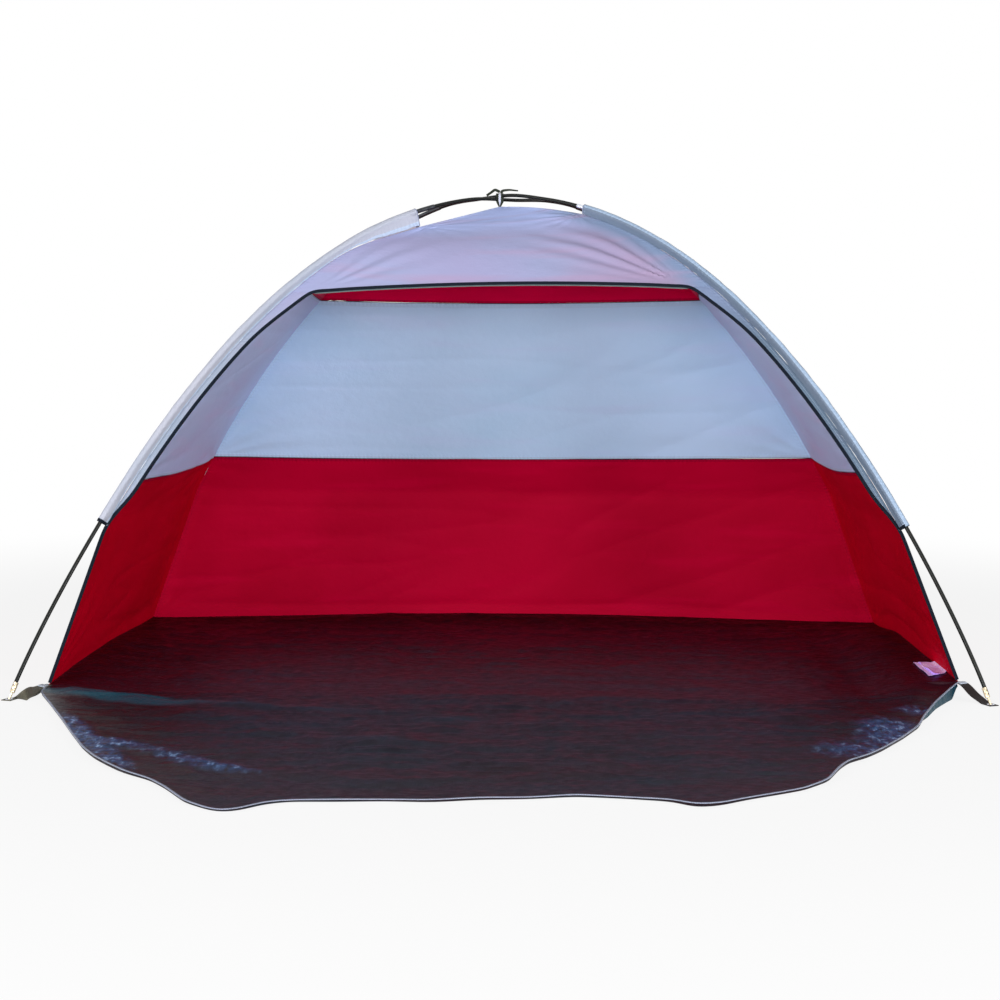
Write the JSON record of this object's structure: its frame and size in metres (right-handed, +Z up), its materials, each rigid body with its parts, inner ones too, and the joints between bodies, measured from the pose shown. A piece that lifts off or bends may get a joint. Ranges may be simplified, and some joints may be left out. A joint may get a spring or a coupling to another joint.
{
  "type": "beach tent",
  "caption": "Half-dome beach shelter on crossed bowed poles, with sleeves, a short awning over an open front, a sewn-in floor and an apron that lies before the door.",
  "frame": {"origin": "centre of the tent floor's underside, below the crossing of the poles", "axes": "+X to the right seen from the open front, +Y from the open front to the back wall, +Z up"},
  "size_m": [2.336, 2.5038, 1.2449],
  "materials": {
    "pole_rod": "dark green glass-fibre rod, satin lacquer",
    "ferrule_steel": "thin drawn steel sleeve, bright",
    "tip_brass": "dull brass-coloured plated tip, worn",
    "elastic_cord": "braided elastic cord",
    "silver_cloth": "silver-grey coated polyester taffeta, slight sheen, fine puckers at the seams",
    "red_cloth": "deep red coated polyester taffeta",
    "floor_sheet": "near-black woven and laminated polyethylene sheet, crinkled, half glossy",
    "black_tape": "black binding tape",
    "hem_tape": "pale grey-blue hem tape",
    "webbing": "grey woven webbing",
    "white_tape": "white cotton tape",
    "label_cloth": "pale pinkish satin label, blank"
  },
  "bodies": {
    "tent": {"floor": "floor_sheet", "awning": "silver_cloth", "opening_binding": "black_tape", "apex_tie": "white_tape", "left_wall_lower": "red_cloth", "left_wall_upper": "silver_cloth", "left_roof": "red_cloth", "right_wall_lower": "red_cloth", "right_wall_upper": "silver_cloth", "right_roof": "red_cloth", "back_wall_lower": "red_cloth", "back_wall_upper": "silver_cloth", "back_roof": "red_cloth", "sleeve_front_left": "silver_cloth", "sleeve_front_right": "silver_cloth", "sleeve_back_left": "silver_cloth", "sleeve_back_right": "silver_cloth", "corner_tab_front_left": "webbing", "corner_tab_front_right": "webbing", "corner_tab_back_left": "webbing", "corner_tab_back_right": "webbing", "eyelet_front_left": "ferrule_steel", "eyelet_front_right": "ferrule_steel", "eyelet_back_left": "ferrule_steel", "eyelet_back_right": "ferrule_steel", "pole_a_section_1": "pole_rod", "pole_a_section_2": "pole_rod", "pole_a_section_3": "pole_rod", "pole_a_section_4": "pole_rod", "pole_a_section_5": "pole_rod", "pole_a_section_6": "pole_rod", "pole_a_section_7": "pole_rod", "pole_a_ferrule_1": "ferrule_steel", "pole_a_ferrule_2": "ferrule_steel", "pole_a_ferrule_3": "ferrule_steel", "pole_a_ferrule_4": "ferrule_steel", "pole_a_ferrule_5": "ferrule_steel", "pole_a_ferrule_6": "ferrule_steel", "pole_a_elastic_cord": "elastic_cord", "pole_a_tip_front": "tip_brass", "pole_a_tip_back": "tip_brass", "pole_b_section_1": "pole_rod", "pole_b_section_2": "pole_rod", "pole_b_section_3": "pole_rod", "pole_b_section_4": "pole_rod", "pole_b_section_5": "pole_rod", "pole_b_section_6": "pole_rod", "pole_b_section_7": "pole_rod", "pole_b_ferrule_1": "ferrule_steel", "pole_b_ferrule_2": "ferrule_steel", "pole_b_ferrule_3": "ferrule_steel", "pole_b_ferrule_4": "ferrule_steel", "pole_b_ferrule_5": "ferrule_steel", "pole_b_ferrule_6": "ferrule_steel", "pole_b_elastic_cord": "elastic_cord", "pole_b_tip_front": "tip_brass", "pole_b_tip_back": "tip_brass"},
    "apron": {"apron": "floor_sheet", "apron_hem": "hem_tape"},
    "label": {"blank_label": "label_cloth"}
  },
  "joints": [
    {"name": "apron_fold", "type": "hinge", "parent": "tent", "child": "apron", "pos_m": [0, -0.6, 0.0024], "axis": [-1, 0, 0], "range_deg": [0, 90]},
    {"name": "label_flap", "type": "hinge", "parent": "tent", "child": "label", "pos_m": [1.0817, -0.402, 0.036], "axis": [0, 1, 0], "range_deg": [0, 60]}
  ]
}
